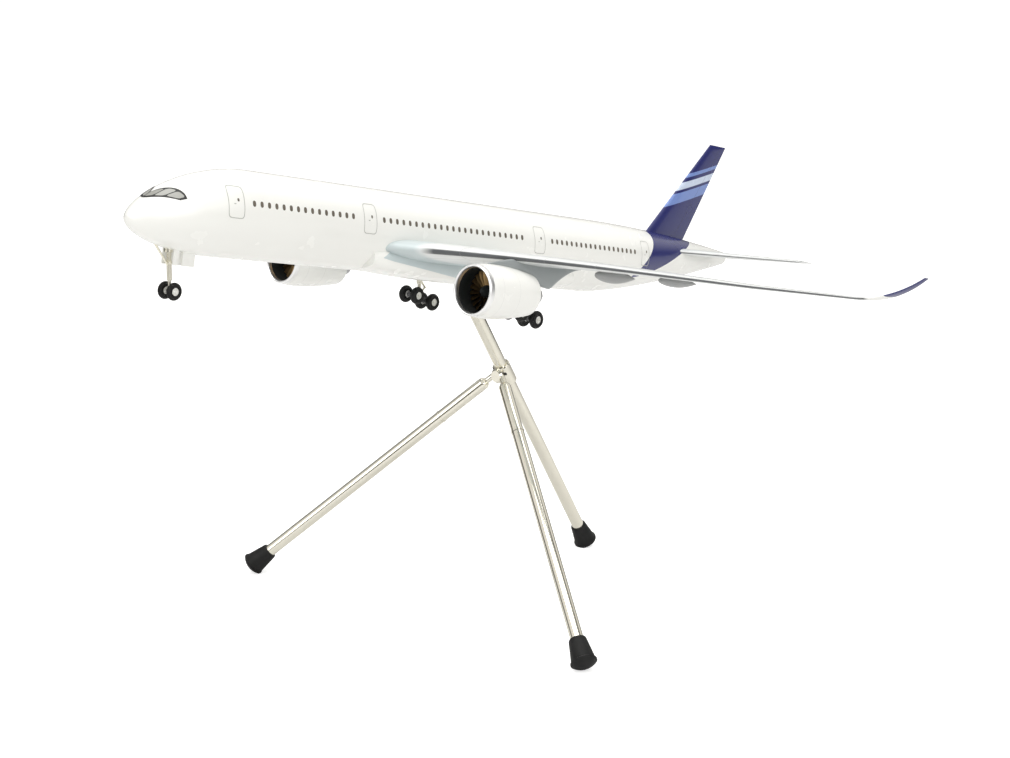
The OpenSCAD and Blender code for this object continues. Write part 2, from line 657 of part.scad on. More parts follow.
pivot_r = 1.1;
leg_top_z = wing_root_z - main_gear_z - 7.5;  // top of the main leg above the pivot
module main_leg() difference() {
  union() {
    rotate([90, 0, 0]) cylinder(d = 4.4, h = 3.2, center = true, $fn = 32);
    rotate([0, 9, 0]) {
      translate([0, 0, 1]) cylinder(d = 3, h = 14, $fn = 32);
      translate([0, 0, 12]) cylinder(d = 4.6, h = leg_top_z - 10, $fn = 32);
    }
    translate([leg_top_z * tan(9) - 5, -3.4, leg_top_z - 4]) cube([10, 6.8, 6]);
  }
  rotate([90, 0, 0]) cylinder(r = pivot_r, h = 10, center = true, $fn = 32);
}
module cut_by_wing() airframe() difference() {
  children();
  wing_bay(2, 3);
}
module main_leg_port() color(nickel) cut_by_wing() main_gear(1) main_leg();
module main_leg_starboard() color(nickel) starboard() cut_by_wing() main_gear(1) main_leg();

// Two side stays from the leg into the belly fairing
stay_reach = main_gear_y - half_w - 2;
module stay_bars(past) for (h = [-1.08 * half_h - main_gear_z, -0.92 * half_h - main_gear_z])
  translate([h * tan(9), -2.2, h]) rotate([90, 0, 0]) cylinder(d = 1.9, h = stay_reach + past, $fn = 24);
module main_stays() airframe() difference() {
  main_gear(1) difference() {
    stay_bars(6.6);
    rotate([0, 9, 0]) cylinder(d = 4.6, h = 60, $fn = 32);
  }
  barrel_solid();
}
module main_stays_port() color(nickel) main_stays();
module main_stays_starboard() color(nickel) starboard() main_stays();

module on_bogie(side) airframe() main_gear(side) rotate([0, -bogie_tilt, 0]) children();
main_axle_r = 0.9;
// Walking beam: two cheeks beside the leg, joined by the pivot pin and by the axle blocks
module bogie() difference() {
  union() {
    for (y = [-1, 1]) translate([0, y * 2.8, 0]) rotate([90, 0, 0])
      translate([0, 0, -0.8]) linear_extrude(1.6)
        polygon([[-bogie_half, -1.6], [0, -2.4], [bogie_half, -1.6], [bogie_half, 1.6], [0, 2.4],
                 [-bogie_half, 1.6]]);
    for (x = [-1, 1]) translate([x * bogie_half, 0, 0]) rotate([90, 0, 0])
      cylinder(d = 3.8, h = 7.2, center = true, $fn = 32);
    rotate([90, 0, 0]) cylinder(r = pivot_r - slip, h = 6, center = true, $fn = 32);
  }
  for (x = [-1, 1]) translate([x * bogie_half, 0, 0]) rotate([90, 0, 0])
    cylinder(r = main_axle_r + slip, h = 20, center = true, $fn = 32);
}
module bogie_port() color(grey) on_bogie(1) bogie();
module bogie_starboard() color(grey) on_bogie(-1) bogie();

main_hub = 0.44 * main_wheel_dia;
module main_wheels(x) translate([x * bogie_half, 0, 0]) wheel_pair(wheel_y, main_hub, 4.6, main_axle_r);
module main_tyres(x) translate([x * bogie_half, 0, 0]) tyre_pair(wheel_y, main_hub, 5, main_wheel_dia);
module front_wheels_port() color(white) on_bogie(1) main_wheels(1);
module rear_wheels_port() color(white) on_bogie(1) main_wheels(-1);
module front_tyres_port() color(rubber) on_bogie(1) main_tyres(1);
module rear_tyres_port() color(rubber) on_bogie(1) main_tyres(-1);
module front_wheels_starboard() color(white) on_bogie(-1) main_wheels(1);
module rear_wheels_starboard() color(white) on_bogie(-1) main_wheels(-1);
module front_tyres_starboard() color(rubber) on_bogie(-1) main_tyres(1);
module rear_tyres_starboard() color(rubber) on_bogie(-1) main_tyres(-1);

main_tube();
tube_plug();
hub_collar();
hub_screws();
stub_port();
stub_starboard();
foot_rear();
leg_tube_port();
foot_port();
leg_tube_starboard();
foot_starboard();
fuselage_port_shell();
fuselage_starboard_shell();
alignment_pins();
nose_ballast();
stand_socket();
belly_fairing();
cockpit_glazing();
wing_port();
wing_starboard();
wing_spar();
flap_fairings_port();
flap_fairings_starboard();
fin();
tailplane_port();
tailplane_starboard();
tail_spar();
pylon_port();
nacelle_port();
intake_lip_port();
engine_core_port();
fan_port();
pylon_starboard();
nacelle_starboard();
intake_lip_starboard();
engine_core_starboard();
fan_starboard();
nose_leg();
nose_brace();
nose_doors();
nose_wheels();
nose_tyres();
main_leg_port();
main_stays_port();
bogie_port();
front_wheels_port();
front_tyres_port();
rear_wheels_port();
rear_tyres_port();
main_leg_starboard();
main_stays_starboard();
bogie_starboard();
front_wheels_starboard();
front_tyres_starboard();
rear_wheels_starboard();
rear_tyres_starboard();
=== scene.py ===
"""Looks for the desktop airliner on its three-legged stand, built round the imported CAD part."""
import math

import bmesh
import bpy
from mathutils import Matrix, Vector


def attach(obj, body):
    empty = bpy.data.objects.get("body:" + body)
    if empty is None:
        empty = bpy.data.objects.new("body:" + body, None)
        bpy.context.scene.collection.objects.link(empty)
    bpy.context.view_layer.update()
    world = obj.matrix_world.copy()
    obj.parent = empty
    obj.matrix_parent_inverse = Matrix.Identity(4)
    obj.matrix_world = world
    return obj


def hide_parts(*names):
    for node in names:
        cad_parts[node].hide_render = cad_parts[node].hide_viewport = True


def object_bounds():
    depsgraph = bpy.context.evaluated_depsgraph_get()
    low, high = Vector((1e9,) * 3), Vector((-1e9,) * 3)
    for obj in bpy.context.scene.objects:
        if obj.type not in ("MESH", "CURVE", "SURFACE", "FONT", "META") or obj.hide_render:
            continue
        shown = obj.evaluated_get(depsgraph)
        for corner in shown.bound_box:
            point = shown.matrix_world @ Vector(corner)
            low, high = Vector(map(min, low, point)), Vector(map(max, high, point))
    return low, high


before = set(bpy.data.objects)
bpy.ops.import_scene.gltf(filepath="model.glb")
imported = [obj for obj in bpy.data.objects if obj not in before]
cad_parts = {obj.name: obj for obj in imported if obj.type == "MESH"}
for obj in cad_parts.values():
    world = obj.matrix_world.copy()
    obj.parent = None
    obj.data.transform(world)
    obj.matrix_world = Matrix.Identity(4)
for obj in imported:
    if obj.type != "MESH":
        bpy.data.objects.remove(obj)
cad_box = [list(corner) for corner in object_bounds()]
scene = bpy.context.scene
SIDES = (("port", 1), ("starboard", -1))

# ---------------------------------------------------------------- airframe outline, in millimetres
BODY_LENGTH = 668.0
HALF_W = 29.8
HALF_H = 30.45
NOSE_TIP_Z = -0.32 * HALF_H
NOSE_LEN = 85.0
CROWN_LEN = 92.0
KEEL_LEN = 66.0
TAIL_START = 460.0
TAIL_LEN = BODY_LENGTH - TAIL_START
PITCH = math.radians(10.65)
NOSE_HEIGHT = 345.4
REAR_REACH = BODY_LENGTH * math.cos(PITCH) + 13 * math.sin(PITCH)
NOSE_X = (REAR_REACH + NOSE_TIP_Z * math.sin(PITCH)) / 2

WING_LE_ROOT = 205.0
ROOT_CHORD = 125.0
WING_ROOT_Z = -10.5
SWEEP = math.tan(math.radians(34.9))
SPAN = 647.5
KINK_Y = 0.34 * SPAN / 2
WINGLET_Y = SPAN / 2 - 23.75
TIP_CHORD = 26.0
WINGLET_RISE = 20.3
WINGLET_TURN = math.radians(78)
FIN_TIP_Z = 114.2
TAIL_HALF_SPAN = 105.0
TAIL_Z = 13.4

ENGINE_S = 218.4
ENGINE_Y = 102.7
ENGINE_Z = -32.15
NACELLE_R = 19.5
NACELLE_LEN = 57.0
DUCT_R = NACELLE_R - 2.9
LIP_LEN = 4.2
FAN_S = 15.0
FAN_BLADES = 22

NOSE_GEAR_S = 39.5
NOSE_GEAR_Z = -55.2
NOSE_WHEEL_Y = 4.8
MAIN_GEAR_S = 329.0
MAIN_GEAR_Y = 56.4
MAIN_GEAR_Z = -50.5
MAIN_WHEEL_Y = 6.4
BOGIE_HALF = 9.5
BOGIE_TILT = math.radians(13.5)

SOCKET_S = 316.7
SOCKET_Z = -1.084 * HALF_H
TUBE_LEAN = math.radians(32)
TUBE_R = 5.25


def clamp(x, low=0.0, high=1.0):
    return min(high, max(low, x))


def aft(s):
    return clamp((s - TAIL_START) / TAIL_LEN)


def body_w(s):
    return HALF_W * math.sqrt(1 - (1 - clamp(s / NOSE_LEN)) ** 2) * (1 - 0.87 * aft(s) ** 1.7)


def body_top(s):
    rise = (1 - (1 - clamp(s / CROWN_LEN)) ** 1.9) ** 0.70
    return NOSE_TIP_Z + (HALF_H - NOSE_TIP_Z) * rise - (HALF_H - 18.5) * aft(s) ** 1.9


def body_bottom(s):
    drop = math.sqrt(1 - (1 - clamp(s / KEEL_LEN)) ** 2)
    return NOSE_TIP_Z - (HALF_H + NOSE_TIP_Z) * drop + (HALF_H + 7.5) * aft(s) ** 1.35


def skin(s, angle, out=0.0):
    """A point of the fuselage skin, angle from the port side over the crown, moved outwards by out."""
    top, bottom = body_top(s), body_bottom(s)
    return (s, (body_w(s) + out) * math.cos(angle),
            (top + bottom) / 2 + ((top - bottom) / 2 + out) * math.sin(angle))


def skin_at(s, z, out=0.0):
    """The port skin point at a station and a height above the fuselage axis."""
    top, bottom = body_top(s), body_bottom(s)
    share = clamp((z - (top + bottom) / 2) / ((top - bottom) / 2), -1, 1)
    return skin(s, math.asin(share), out)


def row(s, y, z):
    """Airframe station, side and height in millimetres to the row frame in metres."""
    x = NOSE_X - s * math.cos(PITCH) - z * math.sin(PITCH)
    return Vector((x, y, NOSE_HEIGHT - s * math.sin(PITCH) + z * math.cos(PITCH))) / 1000


# ---------------------------------------------------------------- mesh helpers
def piece(name, points, faces, material, body, slot, mirror=False, place=row, replaces=(), sharp=40,
          data=None):
    """A mesh piece drawn in airframe coordinates. data is a list of vectors kept on the points as "plan"."""
    side = -1 if mirror else 1
    mesh = bpy.data.meshes.new(name)
    mesh.from_pydata([place(s, side * y, z) for s, y, z in points], [], faces)
    if data:
        plan = mesh.attributes.new("plan", "FLOAT_VECTOR", "POINT")
        for item, value in zip(plan.data, data):
            item.vector = value
    bm = bmesh.new()
    bm.from_mesh(mesh)
    bmesh.ops.recalc_face_normals(bm, faces=bm.faces)
    bm.to_mesh(mesh)
    bm.free()
    mesh.shade_smooth()
    mesh.set_sharp_from_angle(angle=math.radians(sharp))
    mesh.materials.append(material)
    obj = bpy.data.objects.new(name, mesh)
    scene.collection.objects.link(obj)
    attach(obj, body)
    if replaces:
        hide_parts(*replaces)
    return obj


def grid_faces(rows, columns, closed):
    """Quads over rows of points; closed joins the last column to the first."""
    faces = []
    for j in range(rows - 1):
        for i in range(columns if closed else columns - 1):
            k = (i + 1) % columns
            faces.append((j * columns + i, j * columns + k, (j + 1) * columns + k, (j + 1) * columns + i))
    return faces


def loft(rings, caps=(True, True)):
    """Points and faces of a skin over closed rings."""
    n = len(rings[0])
    points = [p for ring in rings for p in ring]
    faces = grid_faces(len(rings), n, True)
    if caps[0]:
        faces.append(tuple(range(n)))
    if caps[1]:
        faces.append(tuple(range(len(points) - n, len(points))))
    return points, faces


def lathe(profile, steps, centre, closed=True):
    """Points and faces of a profile of (radius, distance aft) turned about an axis along the airframe."""
    s0, y0, z0 = centre
    points = []
    for radius, along in profile:
        for i in range(steps):
            a = 2 * math.pi * i / steps
            points.append((s0 + along, y0 + radius * math.sin(a), z0 + radius * math.cos(a)))
    faces = grid_faces(len(profile), steps, True)
    if closed:
        last = (len(profile) - 1) * steps
        for i in range(steps):
            k = (i + 1) % steps
            faces.append((last + i, last + k, k, i))
    return points, faces


def merge(*parts):
    """Joins several (points, faces) pairs into one."""
    points, faces = [], []
    for more_points, more_faces in parts:
        base = len(points)
        points += more_points
        faces += [tuple(base + i for i in face) for face in more_faces]
    return points, faces


def tube(path, radius, steps=12):
    """Points and faces of a round bar along a path of airframe points."""
    rings = []
    for i, here in enumerate(path):
        ahead = Vector(path[min(i + 1, len(path) - 1)]) - Vector(path[max(i - 1, 0)])
        across = ahead.orthogonal().normalized()
        if rings:
            across = (last_across - ahead * (last_across.dot(ahead) / ahead.dot(ahead))).normalized()
        last_across = across
        over = ahead.cross(across).normalized()
        rings.append([tuple(Vector(here) + radius * (across * math.cos(2 * math.pi * k / steps)
                                                     + over * math.sin(2 * math.pi * k / steps)))
                      for k in range(steps)])
    return loft(rings)


# ---------------------------------------------------------------- materials
class Nodes:
    """A material's node tree with short calls for the nodes that are used here."""

    def __init__(self, name, colour, roughness, metallic=0.0, **sockets):
        self.material = bpy.data.materials.new(name)
        self.material.use_nodes = True
        self.tree = self.material.node_tree
        self.shader = self.tree.nodes["Principled BSDF"]
        self.set("Base Color", (*colour, 1))
        self.set("Roughness", roughness)
        self.set("Metallic", metallic)
        for socket, value in sockets.items():
            self.set(socket.replace("_", " "), value)

    def set(self, socket, value):
        self.shader.inputs[socket].default_value = value

    def link(self, source, target):
        self.tree.links.new(source, target)

    def node(self, kind, **values):
        made = self.tree.nodes.new(kind)
        for key, value in values.items():
            setattr(made, key, value)
        return made

    def math(self, operation, a, b=0.0, c=0.0):
        made = self.node("ShaderNodeMath", operation=operation)
        for socket, value in zip(made.inputs, (a, b, c)):
            if isinstance(value, (int, float)):
                socket.default_value = value
            else:
                self.link(value, socket)
        return made.outputs[0]

    def coords(self):
        return self.node("ShaderNodeTexCoord").outputs["Object"]

    def noise(self, scale, detail=3.0, rough=0.5, vector=None):
        made = self.node("ShaderNodeTexNoise")
        made.inputs["Scale"].default_value = scale
        made.inputs["Detail"].default_value = detail
        made.inputs["Roughness"].default_value = rough
        self.link(vector or self.coords(), made.inputs["Vector"])
        return made.outputs["Fac"]

    def spread(self, value, low, high):
        """A 0..1 value mapped to low..high."""
        made = self.node("ShaderNodeMapRange")
        self.link(value, made.inputs["Value"])
        made.inputs["To Min"].default_value = low
        made.inputs["To Max"].default_value = high
        return made.outputs["Result"]

    def mix(self, factor, first, second):
        made = self.node("ShaderNodeMix", data_type="RGBA")
        if isinstance(factor, (int, float)):
            made.inputs[0].default_value = factor
        else:
            self.link(factor, made.inputs[0])
        for index, value in ((6, first), (7, second)):
            if isinstance(value, tuple):
                made.inputs[index].default_value = (*value, 1)
            else:
                self.link(value, made.inputs[index])
        return made.outputs[2]

    def tint(self, colour, amount, scale):
        """The base colour, with soft lighter and darker clouds."""
        dark = tuple(c * (1 - amount) for c in colour)
        light = tuple(min(1, c * (1 + amount)) for c in colour)
        return self.mix(self.noise(scale, 4), dark, light)

    def bump(self, height, strength, distance=0.0002):
        made = self.node("ShaderNodeBump")
        made.inputs["Strength"].default_value = strength
        made.inputs["Distance"].default_value = distance
        self.link(height, made.inputs["Height"])
        self.link(made.outputs["Normal"], self.shader.inputs["Normal"])

    def colour(self, source):
        self.link(source, self.shader.inputs["Base Color"])

    def roughness(self, source):
        self.link(source, self.shader.inputs["Roughness"])

    def plan(self):
        """The three numbers that a piece keeps on its points."""
        split = self.node("ShaderNodeSeparateXYZ")
        self.link(self.node("ShaderNodeAttribute", attribute_name="plan").outputs["Vector"], split.inputs[0])
        return split.outputs

    def airframe(self):
        """Station, side and height in millimetres, worked out from the object's own coordinates."""
        turn = Matrix.Rotation(PITCH, 3, "Y")
        mapping = self.node("ShaderNodeMapping")
        mapping.inputs["Rotation"].default_value = (0, PITCH, 0)
        mapping.inputs["Scale"].default_value = (1000, 1000, 1000)
        mapping.inputs["Location"].default_value = turn @ -Vector((NOSE_X, 0, NOSE_HEIGHT))
        self.link(self.coords(), mapping.inputs["Vector"])
        split = self.node("ShaderNodeSeparateXYZ")
        self.link(mapping.outputs[0], split.inputs[0])
        return self.math("MULTIPLY", split.outputs[0], -1.0), split.outputs[1], split.outputs[2]

    def band(self, value, centre, half, soft=0.15):
        """1 where value is within half of centre, with soft edges."""
        away = self.math("ABSOLUTE", self.math("SUBTRACT", value, centre))
        ramp = self.node("ShaderNodeMapRange", clamp=True)
        self.link(away, ramp.inputs["Value"])
        for socket, number in (("From Min", half - soft), ("From Max", half + soft), ("To Min", 1), ("To Max", 0)):
            ramp.inputs[socket].default_value = number
        return ramp.outputs["Result"]

    def above(self, value, level, soft=0.15):
        ramp = self.node("ShaderNodeMapRange", clamp=True)
        self.link(value, ramp.inputs["Value"])
        if isinstance(level, (int, float)):
            ramp.inputs["From Min"].default_value = level - soft
            ramp.inputs["From Max"].default_value = level + soft
        else:
            self.link(self.math("SUBTRACT", level, soft), ramp.inputs["From Min"])
            self.link(self.math("ADD", level, soft), ramp.inputs["From Max"])
        return ramp.outputs["Result"]


WHITE = (0.90, 0.90, 0.865)
NAVY = (0.030, 0.034, 0.150)
SKY = (0.20, 0.29, 0.62)
PALE = (0.62, 0.70, 0.86)
GREY = (0.74, 0.755, 0.75)
# near-black leading-edge colour: partly the grey of the slats, partly painted shade
EDGE_GREY_AND_SHADE = (0.085, 0.09, 0.095)
ROOT_BLUE = (0.56, 0.63, 0.64)


def lacquer(name, colour, variation=0.015, roughness=0.24, coat=0.35):
    """Sprayed lacquer: a slight orange peel, faint clouds and uneven gloss."""
    m = Nodes(name, colour, roughness, Coat_Weight=coat, Coat_Roughness=0.06)
    m.base = m.tint(colour, variation, 18)
    m.colour(m.base)
    m.roughness(m.spread(m.noise(60, 4), roughness - 0.05, roughness + 0.08))
    m.bump(m.noise(900, 2), 0.05)
    return m


def plated(name, colour, roughness, streaks=(1, 1, 0.05)):
    """Bright plating with drawn streaks, slight stains and fine scratches."""
    m = Nodes(name, colour, roughness, 1.0)
    mapping = m.node("ShaderNodeMapping")
    mapping.inputs["Scale"].default_value = streaks
    m.link(m.coords(), mapping.inputs["Vector"])
    m.colour(m.tint(colour, 0.06, 30))
    drawn = m.noise(900, 3, 0.6, mapping.outputs[0])
    stains = m.noise(25, 5)
    m.roughness(m.spread(m.math("MULTIPLY", drawn, stains), roughness - 0.03, roughness + 0.22))
    m.bump(drawn, 0.06, 0.0001)
    return m


def rubber(name, colour, roughness, scale=700):
    """Moulded rubber: dusty, matt, with a fine grain and paler rubbed spots."""
    m = Nodes(name, colour, roughness, Specular_IOR_Level=0.22)
    pale = tuple(c + 0.014 for c in colour)
    m.colour(m.mix(m.spread(m.noise(90, 6), -0.4, 0.9), colour, pale))
    m.roughness(m.spread(m.noise(150, 4), roughness - 0.1, roughness + 0.12))
    m.bump(m.noise(scale, 4), 0.35, 0.0003)
    return m


def enamel(name, colour, roughness, metallic=0.0):
    """Brushed-on enamel on the small gear parts, with soft darker and lighter clouds and a soft grain."""
    m = Nodes(name, colour, roughness, metallic)
    m.colour(m.tint(colour, 0.12, 160))
    m.roughness(m.spread(m.noise(400, 4), roughness - 0.08, roughness + 0.12))
    m.bump(m.noise(1500, 3), 0.12)
    return m


# Wing paint: plan holds chord share, span station, and millimetres aft of the leading edge, minus below
def wing_paint(name, hinges, cuts, edge, edge_from=0.0, root_to=0.0, tip_from=None):
    m = lacquer(name, GREY, 0.02, 0.3, 0.2)
    chord, span, aft_of_edge = m.plan()
    lines = None
    for share, first, last in hinges:
        here = m.math("MULTIPLY", m.band(chord, share, 0.0035, 0.0015),
                      m.band(span, (first + last) / 2, (last - first) / 2, 0.3))
        lines = here if lines is None else m.math("MAXIMUM", lines, here)
    for place, first, last in cuts:
        here = m.math("MULTIPLY", m.band(span, place, 0.16, 0.08),
                      m.band(chord, (first + last) / 2, (last - first) / 2, 0.004))
        lines = m.math("MAXIMUM", lines, here)
    # Leading-edge strip in near-black: partly the grey metal of the slats, partly painted shade for the dark line
    # along the edge.
    paint = m.mix(m.math("MULTIPLY", m.band(aft_of_edge, -0.9, edge, 0.35), m.above(span, edge_from, 4)),
                  m.base, EDGE_GREY_AND_SHADE)
    paint = m.mix(m.above(span, root_to, 3), ROOT_BLUE, paint)
    if tip_from:
        paint = m.mix(m.above(span, tip_from - 14, 2), paint, WHITE)
        paint = m.mix(m.above(span, tip_from, 0.3), paint, NAVY)
    m.colour(m.mix(m.math("MULTIPLY", lines, 0.55), paint, (0.22, 0.22, 0.23)))
    return m


def fin_paint():
    """Navy, with three plain diagonal stripes that follow nobody's livery."""
    m = lacquer("fin_paint", NAVY, 0.04)
    station, side, height = m.airframe()
    lean = m.math("SUBTRACT", height, m.math("MULTIPLY", m.math("SUBTRACT", station, 600.0), 0.30))
    paint = m.base
    for centre, half, colour in ((66, 4.5, SKY), (76, 3.0, PALE), (84, 1.6, SKY)):
        paint = m.mix(m.band(lean, centre, half, 0.2), paint, colour)
    chord = m.plan()[0]
    rudder = m.band(chord, 0.7, 0.004, 0.002)
    m.colour(m.mix(m.math("MULTIPLY", rudder, 0.6), paint, (0.01, 0.01, 0.03)))
    return m


def cowl_paint():
    """Nacelle white with the seams of the fan cowl and of the reverser sleeve."""
    m = lacquer("nacelle_white", WHITE)
    along = m.plan()[0]
    seams = m.math("MAXIMUM", m.band(along, 13.5, 0.10, 0.06), m.band(along, 31.0, 0.10, 0.06))
    m.colour(m.mix(m.math("MULTIPLY", seams, 0.35), m.base, (0.30, 0.30, 0.30)))
    return m


white = lacquer("gloss_white", WHITE).material
navy = lacquer("gloss_navy", NAVY, 0.05).material
grey = lacquer("satin_grey", GREY, 0.02, 0.3, 0.2).material
root_blue = lacquer("root_blue", ROOT_BLUE, 0.03, 0.3, 0.2).material
pylon_grey = lacquer("pylon_grey", (0.30, 0.325, 0.33), 0.03, 0.34, 0.15).material
nickel = plated("nickel_plate", (0.83, 0.80, 0.70), 0.10).material
polished = plated("polished_lip", (0.93, 0.93, 0.93), 0.34, (1, 1, 1)).material
steel = plated("steel_pin", (0.62, 0.62, 0.62), 0.28).material
gear_metal = plated("gear_nickel", (0.80, 0.77, 0.66), 0.26, (1, 1, 1)).material
bronze = plated("fan_bronze", (0.34, 0.22, 0.10), 0.30, (1, 1, 1)).material
core = plated("core_metal", (0.42, 0.42, 0.43), 0.38, (1, 1, 1)).material
feet = rubber("foot_rubber", (0.007, 0.007, 0.007), 0.5).material
tyres = rubber("tyre_rubber", (0.006, 0.006, 0.006), 0.5, 1600).material
gear_grey = enamel("gear_grey", (0.10, 0.10, 0.105), 0.42).material
hub_white = enamel("hub_white", (0.86, 0.86, 0.83), 0.32).material
black = rubber("intake_black", (0.010, 0.0125, 0.0125), 0.75, 1200).material
screws = enamel("screw_black", (0.02, 0.02, 0.02), 0.34, 0.6).material
cast = enamel("cast_metal", (0.25, 0.25, 0.26), 0.6, 0.8).material
window_print = lacquer("window_print", (0.16, 0.14, 0.115), 0.15, 0.25).material
line_print = lacquer("line_print", (0.45, 0.45, 0.42), 0.1, 0.3).material
glazing_frame = lacquer("glazing_frame", (0.008, 0.008, 0.008), 0.1, 0.5, 0.0).material
glazing_pane = lacquer("glazing_pane", (0.30, 0.30, 0.275), 0.25, 0.2, 0.3).material

# ---------------------------------------------------------------- fuselage
RING = 144
BAND_FOOT = math.sin(math.radians(-34))


def band_share(angle):
    """0 where the navy band ends, low on each side, and 1 on the crown."""
    return clamp((math.sin(angle) - BAND_FOOT) / (1 - BAND_FOOT))


def band_front(angle):
    return 500 + 34 * (1 - (1 - band_share(angle)) ** 1.6)


def band_rear(angle):
    return 500 + 106 * band_share(angle) ** 0.55


def between(first, last, steps):
    """Stations for each ring angle, from one boundary to the next."""
    return [lambda a, t=i / steps: first(a) + (last(a) - first(a)) * t for i in range(steps + 1)]


def at_station(s):
    return lambda a: s


def skin_piece(name, rows, material, slot, replaces=(), nose=False, end=False):
    """A stretch of fuselage skin over rows of stations, with the true surface normals."""
    angles = [2 * math.pi * i / RING for i in range(RING)]
    points, normals = [], []
    for station in rows:
        for a in angles:
            s = station(a)
            points.append(skin(s, a))
            along = Vector(skin(min(s + 0.05, BODY_LENGTH), a)) - Vector(skin(max(s - 0.05, 0.001), a))
            around = Vector(skin(s, a + 0.01)) - Vector(skin(s, a - 0.01))
            # stations run aft, so the first axis is turned round before the cross product
            along.x, around.x = -along.x, -around.x
            normal = around.cross(along)
            normals.append((normal.x, -normal.y, -normal.z))
    faces = grid_faces(len(rows), RING, True)
    if nose:
        points.append((0, 0, NOSE_TIP_Z))
        normals.append((-1, 0, 0))
        faces += [(len(points) - 1, (i + 1) % RING, i) for i in range(RING)]
    if end:
        base = (len(rows) - 1) * RING
        rim = [points[base + i] for i in range(RING)]
        for share, deep in ((0.80, 0.0), (0.72, 5.0)):
            centre_z = (body_top(BODY_LENGTH) + body_bottom(BODY_LENGTH)) / 2
            points += [(s - deep, y * share, centre_z + (z - centre_z) * share) for s, y, z in rim]
            normals += [(1, 0, 0)] * RING
            faces += [tuple(f + base for f in face) for face in grid_faces(2, RING, True)]
            base += RING
        faces.append(tuple(base + i for i in range(RING)))
    obj = piece(name, points, faces, material, "airframe", slot, replaces=replaces, sharp=60)
    if not end:
        origin = row(0, 0, 0)
        turned = [(row(s, y, z) - origin).normalized() for s, y, z in normals]
        obj.data.normals_split_custom_set_from_vertices(turned)
    return obj


rows = [at_station(CROWN_LEN * (i / 60) ** 1.9) for i in range(1, 61)]
rows += [at_station(CROWN_LEN + (TAIL_START - CROWN_LEN) * i / 46) for i in range(1, 47)]
rows += [at_station(TAIL_START + 4 * i) for i in range(1, 5)]
rows += between(at_station(480), band_front, 10)
skin_piece("fuselage_skin", rows, white, "gloss_white", ("fuselage_port_shell", "fuselage_starboard_shell"), nose=True)
skin_piece("tail_band", between(band_front, band_rear, 24), navy, "gloss_navy")
rows = between(band_rear, at_station(640), 20)
rows += [at_station(640 + 28 * i / 12) for i in range(1, 13)]
skin_piece("tail_cone", rows, white, "gloss_white", end=True)


def decal(outline, centre, side, out):
    """Points and faces of a closed outline of (station, height) laid on the skin as a fan."""
    points = [skin_at(*centre, out)] + [skin_at(s, z, out) for s, z in outline]
    n = len(outline)
    faces = [(0, 1 + i, 1 + (i + 1) % n) for i in range(n)]
    return [(s, side * y, z) for s, y, z in points], faces


def oval(s, z, half_w, half_h, power=2.6, steps=20):
    """A rounded rectangle outline about a point."""
    outline = []
    for i in range(steps):
        a = 2 * math.pi * i / steps
        c, d = math.cos(a), math.sin(a)
        outline.append((s + half_w * math.copysign(abs(c) ** (2 / power), c),
                        z + half_h * math.copysign(abs(d) ** (2 / power), d)))
    return outline


def finer(outline, cuts=5):
    """The same outline with every side cut up, so that it follows the curve of the skin."""
    fine = []
    for (s0, z0), (s1, z1) in zip(outline, outline[1:] + outline[:1]):
        fine += [(s0 + (s1 - s0) * i / cuts, z0 + (z1 - z0) * i / cuts) for i in range(cuts)]
    return fine


def frame_strip(s, z, half_w, half_h, width, side, out):
    """A thin rounded frame laid on the skin."""
    outer = finer(oval(s, z, half_w, half_h, 7, 72))
    inner = finer(oval(s, z, half_w - width, half_h - width, 7, 72))
    points = [skin_at(p, q, out) for p, q in outer + inner]
    n = len(outer)
    faces = [(i, (i + 1) % n, n + (i + 1) % n, n + i) for i in range(n)]
    return [(p, side * y, q) for p, y, q in points], faces


WINDOW_Z = 8.5
WINDOW_ROWS = ((78.91, 6.37, 15), (198.24, 6.55, 24), (385.68, 6.18, 19))
DOORS = ((64.9, 12.6), (184.8, 12.5), (370.5, 13.0), (513.5, 12.0))
DOOR_Z = 8.0
DOOR_HALF_H = 10.5
for side_name, side in SIDES:
    parts = []
    for first, pitch, count in WINDOW_ROWS:
        for i in range(count):
            s = first + pitch * i
            parts.append(decal(oval(s, WINDOW_Z, 1.35, 2.0), (s, WINDOW_Z), side, 0.05))
    for s, width in DOORS:
        parts.append(decal(oval(s + 1.5, WINDOW_Z + 1.2, 0.8, 1.1), (s + 1.5, WINDOW_Z + 1.2), side, 0.06))
    piece("cabin_windows_" + side_name, *merge(*parts), window_print, "airframe", "glazing_dark")
    parts = [frame_strip(s, DOOR_Z, width / 2, DOOR_HALF_H, 0.5, side, 0.07) for s, width in DOORS]
    for s, width in DOORS:
        parts.append(decal(oval(s - 1.2, DOOR_Z - 1.0, 0.9, 0.35, 2), (s - 1.2, DOOR_Z - 1.0), side, 0.06))
    piece("door_outlines_" + side_name, *merge(*parts), line_print, "airframe", "core_metal")

# Windscreen: black surround, with six panes laid on it
GLAZING_SWEEP = math.radians(58)


def glaze_front(q):
    return 10.5 + 16 * q * q


def glaze_rear(q):
    return 16 + 15 * (1 - (1 - abs(q)) ** 2)


def glazing_patch(q0, q1, front_share, rear_share, out, across=12, along=8, corner=0.0):
    """A patch of the windscreen between two angle shares and two length shares."""
    points = []
    for i in range(across + 1):
        q = q0 + (q1 - q0) * i / across
        rim = corner * (2 * i / across - 1) ** 6
        low, high = front_share + rim, rear_share - rim
        for j in range(along + 1):
            share = low + (high - low) * j / along
            s = glaze_front(q) + (glaze_rear(q) - glaze_front(q)) * share
            points.append(skin(s, math.pi / 2 - GLAZING_SWEEP * q, out))
    return points, grid_faces(across + 1, along + 1, False)


